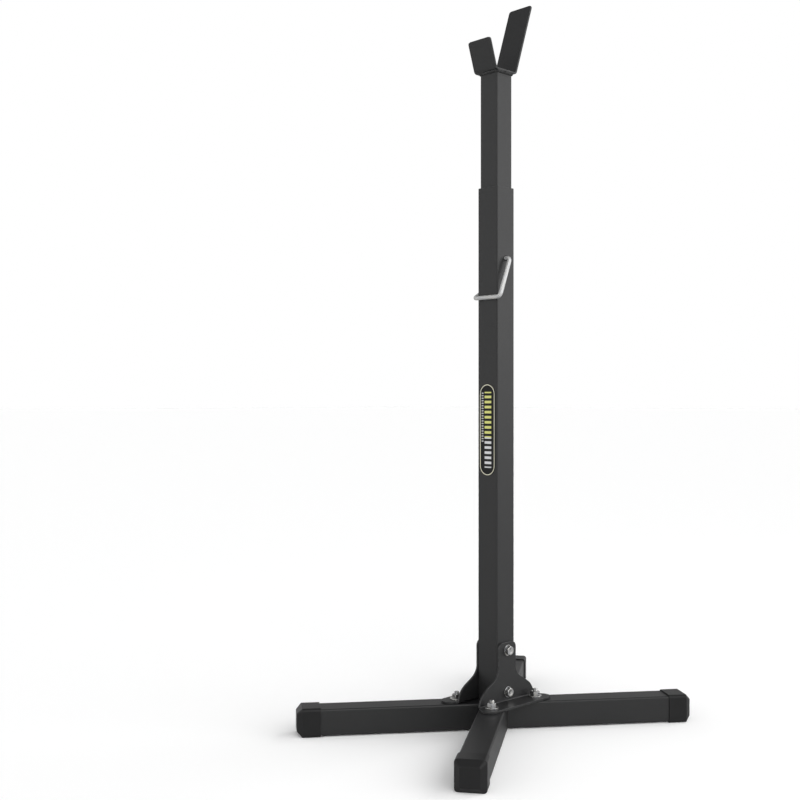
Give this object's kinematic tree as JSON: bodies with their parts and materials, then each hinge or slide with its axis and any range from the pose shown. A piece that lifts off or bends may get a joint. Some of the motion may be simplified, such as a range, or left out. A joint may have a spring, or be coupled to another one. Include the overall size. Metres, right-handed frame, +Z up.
{
  "type": "squat stand",
  "caption": "Free-standing squat stand: crossed square-tube legs, a square post with a telescoping inner post, a bent flat-bar cradle for a barbell on top and a bent wire lock pin.",
  "frame": {"origin": "on the floor, at the middle of the base, on the post's axis", "axes": "+Z up along the post; X along the barbell that the cradle holds; the lifter stands on the -Y side, where the cradle's short arm and the label are; the lock pin's bend is on the +X side"},
  "size_m": [0.3922, 0.529, 1.1299],
  "materials": {
    "powder_coat": "satin black powder coat over steel",
    "cap_plastic": "moulded black plastic, fine grain",
    "zinc": "bright zinc plating",
    "label_film": "printed plastic film, black with a pale outline"
  },
  "bodies": {
    "base": {"base_long_leg": "powder_coat", "base_front_leg": "powder_coat", "base_rear_leg": "powder_coat", "end_cap_right": "cap_plastic", "end_cap_left": "cap_plastic", "end_cap_front": "cap_plastic", "end_cap_rear": "cap_plastic", "leg_bolt_right": "zinc", "leg_bolt_left": "zinc", "leg_bolt_front": "zinc", "leg_bolt_rear": "zinc", "leg_washer_right": "zinc", "leg_washer_left": "zinc", "leg_washer_front": "zinc", "leg_washer_rear": "zinc", "leg_nut_right": "zinc", "leg_nut_left": "zinc", "leg_nut_front": "zinc", "leg_nut_rear": "zinc", "lower_post": "powder_coat", "bracket_right": "powder_coat", "bracket_left": "powder_coat", "post_bolt_upper": "zinc", "post_bolt_lower": "zinc", "post_washer_right_upper": "zinc", "post_washer_right_lower": "zinc", "post_washer_left_upper": "zinc", "post_washer_left_lower": "zinc", "post_nut_upper": "zinc", "post_nut_lower": "zinc", "label": "label_film"},
    "upper": {"inner_post": "powder_coat", "cradle": "powder_coat"},
    "pin": {"lock_pin": "zinc"}
  },
  "joints": [
    {"name": "post_lift", "type": "slide", "parent": "base", "child": "upper", "axis": [0, 0, 1], "range_m": [0, 0.54]},
    {"name": "pin_swing", "type": "hinge", "parent": "base", "child": "pin", "pos_m": [0, 0, 0.7256], "axis": [-1, 0, 0], "range_deg": [0, 137]}
  ]
}
